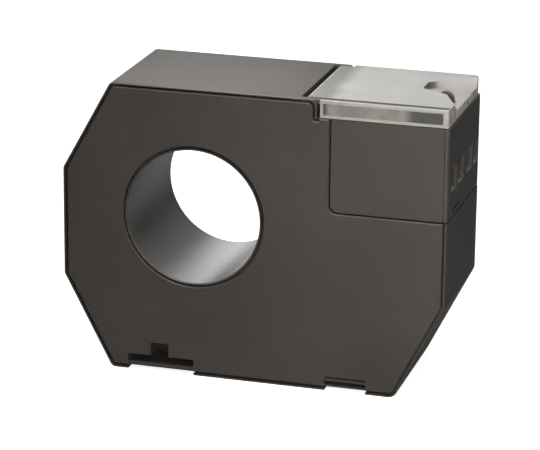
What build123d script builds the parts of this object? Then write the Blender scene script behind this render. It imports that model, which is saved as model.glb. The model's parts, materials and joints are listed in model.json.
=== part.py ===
from build123d import *
import os
from math import asin, cos, degrees, radians, sin, tan

# Closed-core toroidal current transformer with a hinged terminal lid.
# Millimetres. The origin is at the centre of the cable window, half way through the case.
# +X points to the terminal side, +Y away from the front cover and +Z up.

# Case
case_width = 100.0
case_height = 76.0
case_depth = 36.0
window_radius = 17.5
window_left_share = 0.346
window_bottom_share = 0.55921
upper_left_run = 12.8
upper_left_drop = 23.4
lower_left_run = 12.8
lower_left_rise = 24.2
lower_right_run = 12.4
lower_right_rise = 24.7
corner_round = 1.6
lower_right_round = 2.5
edge_cut = 0.25
side_wall = 1.8
face_wall = 1.7
window_wall = 1.8
window_rim_width = 0.45
window_mouth_cut = 0.25

# Front cover, let into the rim of the case
rim_width = 0.5
cover_gap = 0.5
cover_edge_cut = 0.3
post_width = 4.4
peg_width = 2.0
peg_length = 5.0
peg_clearance = 0.05
peg_end_clearance = 0.5

# Terminal bay: the upper right corner, which the terminal housing and its lid fill
bay_width_share = 0.302
bay_height = 29.0
bay_corner_round = 2.0
seam = 0.45
housing_edge_round = 0.7
housing_front_wall = 3.8
housing_left_wall = 1.4
housing_right_wall = 2.0
housing_back_wall = 0.9
housing_floor = 1.6
groove_from_edge = 1.05
groove_width = 0.35
groove_depth = 0.5

# Wire entries and terminals, two to each pole
entry_width_share = 0.16389
entry_rib = 1.8
entry_height = 5.1
entry_from_bay_floor = 8.3
entry_sill = 1.2
latch_slit_length = 10.0
latch_slit_height = 0.8
latch_slit_depth = 1.2
latch_slit_from_floor = 1.6
latch_slit_from_front = 5.5
terminal_from_right = 8.0
carrier_clearance = 0.1
lead_room = 7.8
carrier_top_from_floor = 21.3
clamp_length = 5.6
clamp_side_room = 0.3
clamp_shift = 0.45
clamp_height = 11.0
clamp_wall = 0.6
clamp_top_wall = 1.4
clamp_clearance = 0.1
clamp_seat_from_floor = 7.3
bar_thickness = 1.2
bar_below_clamp_top = 2.3
bar_cross_width = 2.4
bar_tail_width = 4.0
bar_tail_beyond = 2.7
screw_thread_clearance = 0.08
screw_head_inset = 0.2
screw_share_of_clamp = 0.3125
screw_head_gap = 0.4
screw_head_height = 1.8
screw_head_chamfer = 0.4
screw_slot_width = 0.8
screw_slot_depth = 0.9
screw_slot_angle = 25.0

# Terminal lid and its hinge
lid_height = 4.8
lid_plate = 1.6
lid_skirt = 1.3
lid_inset = 0.1
lid_right_inset = 0.3
lid_corner_round = 0.6
lid_back_corner_round = 2.0
lid_edge_round = 0.3
lid_panel_depth = 0.35
lid_panel_border = 0.7
lid_panel_from_top = 1.0
lid_gap = 0.2
ear_reach = 3.3
ear_round = 1.0
ear_foot = 0.3
cover_ear_round = 1.5
cover_ear_foot_round = 0.5
lid_reach = 2.5
tongue_reach = 6.7
hinge_reach = 5.6
hinge_drop = 1.8
case_top_reach = 7.75
tongue_clearance = 0.25
tongue_edge_round = 1.0
hinge_barrel_radius = 1.1
hinge_pin_radius = 0.55
hinge_pin_clearance = 0.05
hinge_pin_reach = 0.9
hinge_end_clearance = 0.1

# Sealing recess of the lid and the sealing eye that stands in it
scoop_tip_from_right = 11.2
scoop_tip_front_share = 0.021
scoop_tip_back_share = 0.151
scoop_bend_from_right = 4.2
scoop_bend_front_share = 0.132
scoop_bend_back_share = 0.304
scoop_mouth_front_share = 0.471
scoop_mouth_back_share = 0.415
scoop_wall_slope = 30.0
scoop_tip_depth = 0.5
scoop_depth = 3.2
scoop_flat = 2.6
scoop_wall = 1.1
eye_from_right = 5.5
eye_radius = 2.2
eye_hole_radius = 0.9
eye_thickness = 1.8
eye_below_top = 0.6
eye_clearance = 0.4
eye_root = 2.0

# Sockets for the mounting feet, in both faces along the bottom
socket_left_from_left = 17.2
socket_left_width = 17.6
socket_left_top = 4.2
socket_right_from_right = 19.8
socket_right_width = 10.7
socket_right_top = 3.75
socket_floor_top = 2.1
socket_floor_bottom = 0.5
socket_depth = 11.0
socket_wall = 1.4
socket_recess = 0.6
socket_catch_from_left = 23.3
socket_catch_width = 4.8
socket_catch_top = 7.75
socket_bar_height = 0.8
socket_bar_bottom = 2.4
socket_right_floor_top = 1.5

# Core, its case, the winding, and the ribs that hold the winding off both faces
winding_clearance = 0.6
winding_build = 1.5
winding_corner_cut = 0.8
winding_outer_room = 0.8
turn_bundles = 36
winding_gap_angle = 16.0
core_case_wall = 0.8
core_clearance = 0.2
rib_height = 1.9
rib_width = 1.6
rib_count = 6

# Winding leads
lead_radius = 0.5
lead_sides = 8
lead_sleeve_wall = 0.4
lead_sleeve_clearance = 0.05
lead_sleeve_length = 6.0
lead_hole_clearance = 0.15
lead_bend = 2.5
lead_rise = 3.4
lead_start_angle = 1.6
lead_from_tail_end = 1.6

# How far a cut runs past the face that it opens, and a small overlap for joins and sloping cuts
run_out = 1.0
overlap = 0.1

window_from_left = window_left_share * case_width
window_from_bottom = window_bottom_share * case_height
bay_width = bay_width_share * case_width
left = -window_from_left
right = left + case_width
bottom = -window_from_bottom
top = bottom + case_height
front = -case_depth / 2
back = case_depth / 2
bay_left = right - bay_width
bay_floor = top - bay_height
lid_seam = top - lid_height


def xz_plane(y):
    """The plane across the case at y, with its own axes along +X and +Z."""
    return Plane(origin=(0, y, 0), x_dir=(1, 0, 0), z_dir=(0, -1, 0))


def prism(face, y_low, y_high):
    """A face drawn in x and z, made solid from y_low to y_high."""
    return extrude(xz_plane(y_high) * face, amount=y_high - y_low)


def block(x_low, x_high, y_low, y_high, z_low, z_high):
    """A rectangular block between two corners."""
    centre = ((x_low + x_high) / 2, (y_low + y_high) / 2, (z_low + z_high) / 2)
    return Pos(*centre) * Box(x_high - x_low, y_high - y_low, z_high - z_low)


def rod(x, z, radius, y_low, y_high):
    """A round bar along Y."""
    return prism(Pos(x, z) * Circle(radius), y_low, y_high)


def square_rod(x, z, width, y_low, y_high):
    """A square bar along Y."""
    return prism(Pos(x, z) * Rectangle(width, width), y_low, y_high)


def cross_rod(x_low, x_high, y, z, radius):
    """A round bar along X."""
    upright = (Align.CENTER, Align.CENTER, Align.MIN)
    return Pos(x_low, y, z) * Rot(0, 90, 0) * Cylinder(radius, x_high - x_low, align=upright)


def ring(inner, outer, y_low, y_high):
    """A plain ring round the axis of the cable window."""
    return prism(Circle(outer) - Circle(inner), y_low, y_high)


def panel(u_low, u_high, v_low, v_high):
    """A rectangle between two corners of a drawing."""
    return Pos((u_low + u_high) / 2, (v_low + v_high) / 2) * Rectangle(u_high - u_low, v_high - v_low)


def rounded_at(face, x, z, radius):
    """The face with its corner nearest to a point rounded."""
    nearest = face.vertices().sort_by_distance((x, z, 0))[0]
    return fillet(nearest, radius)


def rounded_face(corners):
    """A closed face through the corners, each given as x, z and its own corner radius."""
    face = Polygon(*[(x, z) for x, z, _ in corners], align=None)
    for x, z, radius in corners:
        if radius > 0:
            face = rounded_at(face, x, z, radius)
    return face


def case_face():
    """The whole outline of the transformer, terminal corner and lid included."""
    return rounded_face([
        (left + lower_left_run, bottom, corner_round),
        (right - lower_right_run, bottom, lower_right_round),
        (right, bottom + lower_right_rise, corner_round),
        (right, top, corner_round),
        (left + upper_left_run, top, corner_round),
        (left, top - upper_left_drop, corner_round),
        (left, bottom + lower_left_rise, corner_round),
    ])


def bay_face(margin):
    """The corner that the terminal housing and the lid take, grown by a margin."""
    far = case_width
    return rounded_face([
        (bay_left - margin, bay_floor - margin, bay_corner_round + margin),
        (bay_left + far, bay_floor - margin, 0),
        (bay_left + far, top + far, 0),
        (bay_left - margin, top + far, 0),
    ])


def lid_step_face(x_left, z_low):
    """The step in the top of the case that the left end of the lid lies in."""
    far = case_width
    return Polygon((x_left, z_low), (bay_left + far, z_low), (bay_left + far, top + far),
                   (x_left, top + far), align=None)


def ear_corner():
    """What rounding takes off the top corner of the ears beside the hinge."""
    x = bay_left - ear_reach - ear_round
    z = top - ear_round
    square = Pos(x + ear_round / 2, z + ear_round / 2) * Rectangle(ear_round, ear_round)
    return square - Pos(x, z) * Circle(ear_round)


def post_places():
    """Where the cover's pegs go into the posts of the case: one in each corner of its inside."""
    room = side_wall + post_width / 2
    return [
        (left + upper_left_run + room, top - room),
        (left + lower_left_run + room, bottom + socket_catch_top + room),
        (right - lower_right_run - room, bottom + socket_catch_top + room),
        (right - room, bay_floor - room),
        (bay_left - room, lid_seam - room),
    ]


def socket_void(x_low, width, slots, face_y, inward):
    """The recess and slots of one foot socket, cut from one face of the case."""

    def cut(z_low, z_high, depth):
        ys = sorted([face_y - inward * run_out, face_y + inward * depth])
        return block(x_low, x_low + width, ys[0], ys[1], bottom + z_low, bottom + z_high)

    void = cut(-run_out, max(high for _, high in slots), socket_recess)
    void += cut(-run_out, socket_floor_bottom, socket_depth)
    for low, high in slots:
        void += cut(low, high, socket_depth)
    return void


socket_left_x = left + socket_left_from_left
socket_right_x = right - socket_right_from_right - socket_right_width
catch_x = left + socket_catch_from_left
left_slots = [(socket_floor_top, socket_left_top)]
right_slots = [
    (socket_right_floor_top, socket_bar_bottom),
    (socket_bar_bottom + socket_bar_height, socket_right_top),
]


def catch_void(face_y, inward):
    """The window over the left socket that the foot's catch snaps into."""
    ys = sorted([face_y - inward * run_out, face_y + inward * socket_depth])
    return block(catch_x, catch_x + socket_catch_width, ys[0], ys[1],
                 bottom + socket_floor_top, bottom + socket_catch_top)


def socket_voids(face_y, inward):
    """Both foot sockets of one face."""
    void = socket_void(socket_left_x, socket_left_width, left_slots, face_y, inward)
    void += socket_void(socket_right_x, socket_right_width, right_slots, face_y, inward)
    return void + catch_void(face_y, inward)


def socket_boxes(y_low, y_high):
    """The material round the foot sockets, inside the case."""
    places = [
        (socket_left_x, socket_left_width, socket_left_top),
        (socket_right_x, socket_right_width, socket_right_top),
        (catch_x, socket_catch_width, socket_catch_top),
    ]
    boxes = []
    for x_low, width, height in places:
        boxes.append(block(x_low - socket_wall, x_low + width + socket_wall, y_low, y_high,
                           bottom + side_wall / 2, bottom + height + socket_wall))
    return boxes[0] + boxes[1] + boxes[2]


hinge_x = bay_left - hinge_reach
hinge_z = top - hinge_drop
inner_front = front + face_wall
inner_back = back - face_wall
pin_hole_radius = hinge_pin_radius + hinge_pin_clearance
pin_hole_depth = hinge_pin_reach + hinge_end_clearance
sleeve_radius = lead_radius + lead_sleeve_clearance + lead_sleeve_wall
lead_hole_radius = sleeve_radius + lead_hole_clearance

# Wire entries and pole chambers; the middle wall takes the depth that is left between the poles
entry_width = entry_width_share * case_depth
pole_width = 2 * entry_width + entry_rib
pole_pitch = case_depth - housing_front_wall - housing_back_wall - pole_width
middle_wall = pole_pitch - pole_width
clamp_width = entry_width - clamp_side_room
screw_head_radius = clamp_width / 2 - screw_head_inset
screw_radius = screw_share_of_clamp * clamp_width

# Levels and places inside the terminal housing
terminal_x = right - terminal_from_right
chamber_left = bay_left + seam + housing_left_wall
chamber_floor = bay_floor + seam + housing_floor
carrier_top = bay_floor + seam + carrier_top_from_floor
clamp_low = bay_floor + clamp_seat_from_floor
clamp_high = clamp_low + clamp_height
bar_top = clamp_high - bar_below_clamp_top
bar_low = bar_top - bar_thickness
carrier_right = right - housing_right_wall - carrier_clearance
carrier_left = chamber_left + lead_room
bar_tail_end = carrier_left - bar_tail_beyond
bar_strip_x = terminal_x - clamp_length / 2 - clamp_clearance - bar_cross_width
lead_z = bar_low - lead_rise

# Rings of the core, from the cable window outwards, in the room that the nearer wall leaves
winding_inner = window_radius + window_wall + winding_clearance
winding_outer = min(window_from_left, case_height - window_from_bottom) - side_wall - winding_outer_room
core_case_inner = winding_inner + winding_build
core_inner = core_case_inner + core_case_wall + core_clearance
core_case_outer = winding_outer - winding_build
core_outer = core_case_outer - core_case_wall - core_clearance
winding_half = case_depth / 2 - face_wall - rib_height
core_case_half = winding_half - winding_build
core_back = core_case_half - core_case_wall
core_front = -core_case_half + core_case_wall + core_clearance
winding_gap_at = degrees(asin(lead_z / winding_outer))


def pole_low(pole):
    """The front side of a pole's pair of wire entries: pole 0 in front, pole 1 behind."""
    return front + housing_front_wall + pole * pole_pitch


def entry_centre(index):
    """The middle, in y, of one of the four wire entries."""
    return pole_low(index // 2) + entry_width / 2 + (index % 2) * (entry_width + entry_rib)


def pole_centre(pole):
    """The middle, in y, of a pole's chamber."""
    return pole_low(pole) + pole_width / 2


def clamp_centre(index):
    """The middle, in y, of a clamp, which sits a little nearer its pole's middle than its wire entry."""
    side = 2 * (index % 2) - 1
    return entry_centre(index) - side * clamp_shift


seal_y = pole_low(1) - middle_wall / 2


def make_winding_ribs(y_low, y_high):
    """Ribs on a face of the case, like spokes, that the winding rests between."""
    ribs = []
    for index in range(rib_count):
        rib = block(core_case_inner, core_case_outer, y_low, y_high, -rib_width / 2, rib_width / 2)
        ribs.append(Rot(0, index * 360 / rib_count, 0) * rib)
    return ribs


def make_housing_shell():
    """The moulded cup: outer walls, back wall, window tube, bay walls, posts and sockets."""
    envelope = prism(case_face(), front, back)
    rims = envelope.faces().sort_by(Axis.Y)[0].edges() + envelope.faces().sort_by(Axis.Y)[-1].edges()
    envelope = chamfer(rims, edge_cut)
    ear_end = bay_left - ear_reach
    roof_end = bay_left - case_top_reach
    shell = envelope - prism(bay_face(0), front - run_out, back + run_out)
    shell -= prism(lid_step_face(ear_end, lid_seam), front - run_out, back + run_out)
    shell -= prism(lid_step_face(roof_end, lid_seam), inner_front, inner_back)
    shell -= prism(ear_corner(), front - run_out, back + run_out)
    cavity = offset(case_face(), amount=-side_wall, kind=Kind.INTERSECTION)
    cavity -= bay_face(side_wall)
    cavity -= lid_step_face(roof_end - side_wall, lid_seam - side_wall)
    shell -= prism(cavity, front - run_out, inner_back)
    shell += rod(0, 0, window_radius + window_wall, front, back - edge_cut)
    for x, z in post_places():
        shell += square_rod(x, z, post_width, inner_front, inner_back)
        shell -= square_rod(x, z, peg_width + 2 * peg_clearance,
                            inner_front, inner_front + peg_length + peg_end_clearance)
    for rib in make_winding_ribs(winding_half, inner_back):
        shell += rib
    shell += socket_boxes(inner_front, inner_front + socket_depth)
    shell += socket_boxes(inner_back - socket_depth, inner_back)
    shell -= prism(cover_face(rim_width), front - run_out, inner_front)
    shell -= rod(0, 0, window_radius, front - run_out, back + run_out)
    shell -= socket_voids(front, 1)
    shell -= socket_voids(back, -1)
    shell -= rod(hinge_x, hinge_z, pin_hole_radius, inner_back - run_out, inner_back + pin_hole_depth)
    for pole in (0, 1):
        shell -= cross_rod(bay_left - side_wall - run_out, bay_left + run_out,
                           pole_centre(pole), lead_z, lead_hole_radius)
    mouths = shell.edges().filter_by(GeomType.CIRCLE).filter_by(
        lambda edge: abs(edge.radius - window_radius) < overlap and edge.length > window_radius)
    return chamfer(mouths, window_mouth_cut)


def cover_face(margin):
    """The front cover's outline: the case's outline drawn in by a margin, less the terminal bay."""
    face = offset(case_face(), amount=-margin, kind=Kind.INTERSECTION)
    face -= bay_face(0)
    ear_end = bay_left - ear_reach
    face -= lid_step_face(ear_end - margin, lid_seam)
    beyond_rim = margin - rim_width
    foot = lid_seam - ear_foot - beyond_rim
    face -= panel(ear_end - margin, ear_end + beyond_rim, foot, top)
    face = rounded_at(face, ear_end - margin, top - margin, cover_ear_round)
    face = rounded_at(face, ear_end - margin, foot, cover_ear_foot_round)
    return face - Circle(window_radius + window_rim_width + beyond_rim)


def make_front_cover():
    """The flat cover with its window, foot sockets, hinge ear, ribs and pegs."""
    cover = prism(cover_face(rim_width + cover_gap), front, inner_front)
    outside = cover.faces().sort_by(Axis.Y)[0]
    cover = chamfer(outside.edges(), cover_edge_cut)
    cover -= socket_voids(front, 1)
    cover -= rod(hinge_x, hinge_z, pin_hole_radius, inner_front - pin_hole_depth, inner_front + run_out)
    for rib in make_winding_ribs(inner_front, -winding_half):
        cover += rib
    for x, z in post_places():
        cover += square_rod(x, z, peg_width, inner_front, inner_front + peg_length)
    return cover


def make_terminal_housing():
    """The moulded frame round the terminals, with wire entries, middle wall and sealing eye."""
    x_low = bay_left + seam
    x_high = right
    z_low = bay_floor + seam
    outline = rounded_face([
        (x_low, z_low, bay_corner_round),
        (x_high, z_low, 0),
        (x_high, lid_seam, 0),
        (x_low, lid_seam, 0),
    ])
    housing = prism(outline, front, back)
    right_face = housing.faces().sort_by(Axis.X)[-1]
    housing = fillet(right_face.edges().filter_by(Axis.Z), housing_edge_round)
    for pole in (0, 1):
        housing -= block(chamber_left, right - housing_right_wall, pole_low(pole),
                         pole_low(pole) + pole_width, chamber_floor, lid_seam + run_out)
        housing -= cross_rod(x_low - run_out, chamber_left + run_out, pole_centre(pole), lead_z,
                             lead_hole_radius)
    entry_low = bay_floor + entry_from_bay_floor
    for index in range(4):
        y_low = entry_centre(index) - entry_width / 2
        housing -= block(right - housing_right_wall - run_out, x_high + run_out,
                         y_low, y_low + entry_width, entry_low, entry_low + entry_height)
        sill = Polygon((x_high + overlap, entry_low - entry_sill), (x_high + overlap, entry_low + overlap),
                       (x_high - housing_right_wall, entry_low + overlap), align=None)
        housing -= prism(sill, y_low, y_low + entry_width)
    slit_low = front + latch_slit_from_front
    slit_z = bay_floor + latch_slit_from_floor
    housing -= block(x_high - latch_slit_depth, x_high + run_out, slit_low, slit_low + latch_slit_length,
                     slit_z, slit_z + latch_slit_height)
    groove_x = right - groove_from_edge
    housing -= block(groove_x - groove_width / 2, groove_x + groove_width / 2,
                     front - run_out, front + groove_depth, z_low - run_out, lid_seam + run_out)
    return housing + make_sealing_eye()


def make_sealing_eye():
    """The eye that stands up through the lid, for a sealing wire."""
    x = right - eye_from_right
    z = top - eye_below_top - eye_radius
    stalk = panel(x - eye_radius, x + eye_radius, lid_seam - eye_root, z)
    face = stalk + Pos(x, z) * Circle(eye_radius) - Pos(x, z) * Circle(eye_hole_radius)
    return prism(face, seal_y - eye_thickness / 2, seal_y + eye_thickness / 2)


def scoop_plan():
    """The sealing recess at the top of the lid: a trumpet that opens towards the right side."""
    stations = [
        (right - scoop_tip_from_right, scoop_tip_front_share, scoop_tip_back_share),
        (right - scoop_bend_from_right, scoop_bend_front_share, scoop_bend_back_share),
        (right + run_out, scoop_mouth_front_share, scoop_mouth_back_share),
    ]
    near_side = [(x, seal_y - near * case_depth) for x, near, _ in stations]
    far_side = [(x, seal_y + far * case_depth) for x, _, far in reversed(stations)]
    return Polygon(*near_side, *far_side, align=None)


def scoop_profile(drop):
    """The recess seen from the front: its floor falls from the tip to a flat at the side."""
    x_tip = right - scoop_tip_from_right - scoop_wall
    x_end = right + run_out
    return Polygon((x_tip, top - scoop_tip_depth - drop), (right - scoop_flat, top - scoop_depth - drop),
                   (x_end, top - scoop_depth - drop), (x_end, top + run_out), (x_tip, top + run_out),
                   align=None)


def scoop_solid(margin, drop, ceiling):
    """The recess with its sloping walls, grown by a margin and lowered by a drop, up to a ceiling."""
    spread = margin + (ceiling - top) * tan(radians(scoop_wall_slope))
    outline = offset(scoop_plan(), amount=spread, kind=Kind.INTERSECTION)
    depth = ceiling - top + scoop_depth + drop + overlap
    column = extrude(Pos(0, 0, ceiling) * outline, amount=depth, dir=(0, 0, -1), taper=scoop_wall_slope)
    return column & prism(scoop_profile(drop), front, back)


def make_terminal_lid():
    """The clear lid: plate, skirts, hinge tongue with pins, and the sealing recess."""
    x_low = bay_left - lid_reach
    x_high = right - lid_right_inset
    y_low = front + lid_inset
    y_high = back - lid_inset
    z_low = lid_seam + lid_gap
    outer = block(x_low, x_high, y_low, y_high, z_low, top)
    uprights = outer.faces().sort_by(Axis.X)[-1].edges().filter_by(Axis.Z).sort_by(Axis.Y)
    outer = fillet(uprights[0], lid_corner_round)
    uprights = outer.edges().filter_by(Axis.Z).filter_by(
        lambda edge: edge.center().X > x_high - overlap and edge.center().Y > 0)
    outer = fillet(uprights, lid_back_corner_round)
    ceiling = outer.faces().sort_by(Axis.Z)[-1]
    outer = fillet(ceiling.edges().filter_by(lambda edge: edge.center().X > x_low + overlap), lid_edge_round)
    hollow = block(x_low - run_out, x_high - lid_skirt, y_low + lid_skirt, y_high - lid_skirt,
                   z_low - run_out, top - lid_plate)
    lid = outer - hollow
    lid += outer & scoop_solid(scoop_wall, scoop_wall, top)
    lid -= scoop_solid(0, 0, top + run_out)
    x_eye = right - eye_from_right
    lid -= block(x_eye - eye_radius - eye_clearance, x_eye + eye_radius + eye_clearance,
                 seal_y - eye_thickness / 2 - eye_clearance, seal_y + eye_thickness / 2 + eye_clearance,
                 z_low - run_out, top + run_out)
    lid -= block(x_low + lid_panel_border, right - groove_from_edge - lid_panel_border,
                 y_low - run_out, y_low + lid_panel_depth, z_low + lid_panel_border, top - lid_panel_from_top)
    return lid + make_hinge_tongue(x_low)


def make_hinge_tongue(x_join):
    """The left end of the lid, between the ears of the case, with a pin at each side."""
    x_low = bay_left - tongue_reach
    y_low = inner_front + tongue_clearance
    y_high = inner_back - tongue_clearance
    plate = block(x_low, x_join + overlap, y_low, y_high, top - lid_plate, top)
    left_top = plate.edges().filter_by(Axis.Y).sort_by(lambda edge: edge.center().X - edge.center().Z)[0]
    plate = fillet(left_top, tongue_edge_round)
    barrel = rod(hinge_x, hinge_z, hinge_barrel_radius, y_low, y_high)
    pins = rod(hinge_x, hinge_z, hinge_pin_radius,
               inner_front - hinge_pin_reach, inner_back + hinge_pin_reach)
    return plate + barrel + pins


def make_toroid_core():
    """The core: one ring of wound strip."""
    return ring(core_inner, core_outer, core_front, core_back)


def make_core_case_base():
    """The deep channel that the core lies in."""
    base = ring(core_case_inner, core_case_outer, -core_case_half + core_case_wall, core_case_half)
    return base - ring(core_inner - core_clearance, core_outer + core_clearance, -core_case_half, core_back)


def make_core_case_lid():
    """The flat ring that closes the channel."""
    return ring(core_case_inner, core_case_outer, -core_case_half, -core_case_half + core_case_wall)


def polar(radius, angle):
    """A point in x and z at an angle in degrees from +X."""
    return (radius * cos(radians(angle)), radius * sin(radians(angle)))


def make_secondary_winding():
    """The winding round the core's case: flat bundles of turns, with a gap for the leads."""
    start = winding_gap_at + winding_gap_angle / 2
    step = (360 - winding_gap_angle) / turn_bundles
    angles = [start + index * step for index in range(turn_bundles + 1)]
    outside = [polar(winding_outer, angle) for angle in angles]
    inside = [polar(winding_inner, angle) for angle in reversed(angles)]
    winding = prism(Polygon(*outside, *inside, align=None), -winding_half, winding_half)
    rims = winding.faces().sort_by(Axis.Y)[0].edges() + winding.faces().sort_by(Axis.Y)[-1].edges()
    winding = chamfer(rims, winding_corner_cut)
    return winding - ring(core_case_inner, core_case_outer, -core_case_half, core_case_half)


def make_terminal_carrier(pole):
    """The insulating block of one pole, with a well and a wire way for each of its two clamps."""
    y_low = pole_low(pole) + carrier_clearance
    y_high = pole_low(pole) + pole_width - carrier_clearance
    carrier = block(carrier_left, carrier_right, y_low, y_high, chamber_floor, carrier_top)
    for index in (2 * pole, 2 * pole + 1):
        centre = clamp_centre(index)
        half_length = clamp_length / 2 + clamp_clearance
        half_width = clamp_width / 2 + clamp_clearance
        carrier -= block(terminal_x - half_length, terminal_x + half_length, centre - half_width,
                         centre + half_width, clamp_low, carrier_top + run_out)
        half_way = clamp_width / 2 - clamp_wall
        carrier -= block(terminal_x, carrier_right + run_out, centre - half_way, centre + half_way,
                         clamp_low + clamp_wall, bar_low)
    trough = offset(bar_face(pole), amount=clamp_clearance, kind=Kind.INTERSECTION)
    return carrier - extrude(Pos(0, 0, bar_low) * trough, amount=carrier_top - bar_low + run_out)


def make_terminal_clamp(index):
    """A rising clamp: a steel loop open towards the wire entry, with its screw hole on top."""
    y = clamp_centre(index)
    half_length = clamp_length / 2
    half_width = clamp_width / 2
    clamp = block(terminal_x - half_length, terminal_x + half_length, y - half_width, y + half_width,
                  clamp_low, clamp_high)
    clamp -= block(terminal_x - half_length - run_out, terminal_x + half_length + run_out,
                   y - half_width + clamp_wall, y + half_width - clamp_wall,
                   clamp_low + clamp_wall, clamp_high - clamp_top_wall)
    hole = Cylinder(screw_radius + screw_thread_clearance, 2 * (clamp_top_wall + run_out))
    return clamp - Pos(terminal_x, y, clamp_high) * hole


def make_terminal_screw(index):
    """A slotted terminal screw, with its tip on the contact bar."""
    y = clamp_centre(index)
    shank_top = clamp_high + screw_head_gap
    head_top = shank_top + screw_head_height
    shank = Pos(terminal_x, y, (bar_top + shank_top) / 2) * Cylinder(screw_radius, shank_top - bar_top)
    head = Pos(terminal_x, y, (shank_top + head_top) / 2) * Cylinder(screw_head_radius, screw_head_height)
    head = chamfer(head.edges().sort_by(Axis.Z)[-1], screw_head_chamfer)
    slot = Box(3 * screw_head_radius, screw_slot_width, 2 * screw_slot_depth)
    return shank + head - Pos(terminal_x, y, head_top) * Rot(0, 0, screw_slot_angle) * slot


def bar_face(pole):
    """The contact bar seen from above: a finger through each clamp, a cross strip and a tail."""
    y = pole_centre(pole)
    finger_half = clamp_width / 2 - clamp_wall - clamp_clearance
    low = clamp_centre(2 * pole) - finger_half
    high = clamp_centre(2 * pole + 1) + finger_half
    face = panel(bar_strip_x, bar_strip_x + bar_cross_width, low, high)
    for index in (2 * pole, 2 * pole + 1):
        centre = clamp_centre(index)
        face += panel(bar_strip_x, terminal_x + clamp_length / 2, centre - finger_half, centre + finger_half)
    return face + panel(bar_tail_end, bar_strip_x + overlap, y - bar_tail_width / 2, y + bar_tail_width / 2)


def make_contact_bar(pole):
    """A brass bar with a finger through each clamp of a pole and a tail for the winding lead."""
    return extrude(Pos(0, 0, bar_low) * bar_face(pole), amount=bar_thickness)


def lead_points(pole):
    """A lead's route: out of the winding's gap, level through both walls, up to the bar's tail."""
    side = 2 * pole - 1
    y = pole_centre(pole)
    angle = winding_gap_at + side * (winding_gap_angle / 2 - lead_start_angle)
    x_start, z_start = polar(core_case_outer + winding_build / 2, angle)
    x_turn = polar(winding_outer, winding_gap_at)[0] + lead_bend + 2 * lead_radius
    x_tag = bar_tail_end + lead_from_tail_end
    return [(x_start, y, z_start), (x_turn, y, lead_z), (x_tag, y, lead_z), (x_tag, y, bar_low)]


def make_winding_lead(pole):
    """The lead from the winding to the contact bar of its pole."""
    path = FilletPolyline(*lead_points(pole), radius=lead_bend)
    section = RegularPolygon(lead_radius, lead_sides)
    lead = sweep(Plane(path @ 0, z_dir=path % 0) * section, path=path)
    print(f"winding lead {pole + 1}: {path.length:.2f} mm long, "
          f"{lead.volume / (path.length * section.area):.4f} of section times length")
    return lead


def make_lead_sleeve(pole):
    """The insulating sleeve on a lead, where it passes through the walls of the bay."""
    middle = bay_left + (seam + housing_left_wall - side_wall) / 2
    ends = (middle - lead_sleeve_length / 2, middle + lead_sleeve_length / 2)
    tube = cross_rod(*ends, pole_centre(pole), lead_z, sleeve_radius)
    return tube - cross_rod(*ends, pole_centre(pole), lead_z, lead_radius + lead_sleeve_clearance)


def export_all(nodes):
    """Write one STEP file for each named piece."""
    os.makedirs("parts", exist_ok=True)
    for name, solid in nodes.items():
        solid.label = name
        export_step(solid, f"parts/{name}.step")


nodes = {
    "housing_shell": make_housing_shell(),
    "front_cover": make_front_cover(),
    "terminal_housing": make_terminal_housing(),
    "terminal_lid": make_terminal_lid(),
    "toroid_core": make_toroid_core(),
    "core_case_base": make_core_case_base(),
    "core_case_lid": make_core_case_lid(),
    "secondary_winding": make_secondary_winding(),
}
for pole, side in enumerate(("front", "rear")):
    nodes[f"terminal_carrier_{side}"] = make_terminal_carrier(pole)
    nodes[f"contact_bar_{side}"] = make_contact_bar(pole)
    nodes[f"winding_lead_{side}"] = make_winding_lead(pole)
    nodes[f"lead_sleeve_{side}"] = make_lead_sleeve(pole)
for index in range(4):
    nodes[f"terminal_clamp_{index + 1}"] = make_terminal_clamp(index)
nodes["terminal_screws"] = Compound([make_terminal_screw(index) for index in range(4)])
export_all(nodes)
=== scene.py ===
"""Looks of a closed-core current transformer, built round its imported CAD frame.

Everything stands in the frame of the CAD model: the origin is at the centre of the cable window,
+X points to the terminal side, +Y away from the front cover and +Z up. The sizes of the pieces and
their finishes are in millimetres, and those of the studio in metres, as Blender takes them.
"""

import json
import logging
import math
from dataclasses import dataclass, field
from enum import Enum
from typing import Any

import bmesh
import bpy
from mathutils import Matrix, Vector

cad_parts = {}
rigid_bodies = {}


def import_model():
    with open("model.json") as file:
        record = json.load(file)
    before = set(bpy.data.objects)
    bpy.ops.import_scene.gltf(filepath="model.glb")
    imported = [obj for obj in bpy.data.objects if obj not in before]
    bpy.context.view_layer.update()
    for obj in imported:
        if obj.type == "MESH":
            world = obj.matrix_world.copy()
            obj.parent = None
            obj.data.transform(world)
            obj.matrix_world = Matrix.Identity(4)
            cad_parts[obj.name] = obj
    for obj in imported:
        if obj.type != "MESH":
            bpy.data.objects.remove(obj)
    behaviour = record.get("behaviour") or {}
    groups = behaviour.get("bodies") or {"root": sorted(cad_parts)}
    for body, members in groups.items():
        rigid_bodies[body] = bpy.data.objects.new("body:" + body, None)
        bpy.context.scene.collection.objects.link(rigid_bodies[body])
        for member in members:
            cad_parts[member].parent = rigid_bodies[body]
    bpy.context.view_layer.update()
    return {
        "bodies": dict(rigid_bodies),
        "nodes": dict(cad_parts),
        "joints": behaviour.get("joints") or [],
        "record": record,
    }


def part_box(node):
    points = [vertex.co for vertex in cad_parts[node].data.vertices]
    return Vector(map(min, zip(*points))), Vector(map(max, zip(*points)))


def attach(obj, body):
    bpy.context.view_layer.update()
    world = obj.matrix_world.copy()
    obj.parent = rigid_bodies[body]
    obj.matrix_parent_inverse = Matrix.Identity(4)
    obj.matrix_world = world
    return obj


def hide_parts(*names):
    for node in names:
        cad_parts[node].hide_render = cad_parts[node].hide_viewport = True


Material = bpy.types.Material
Node = bpy.types.Node
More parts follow.
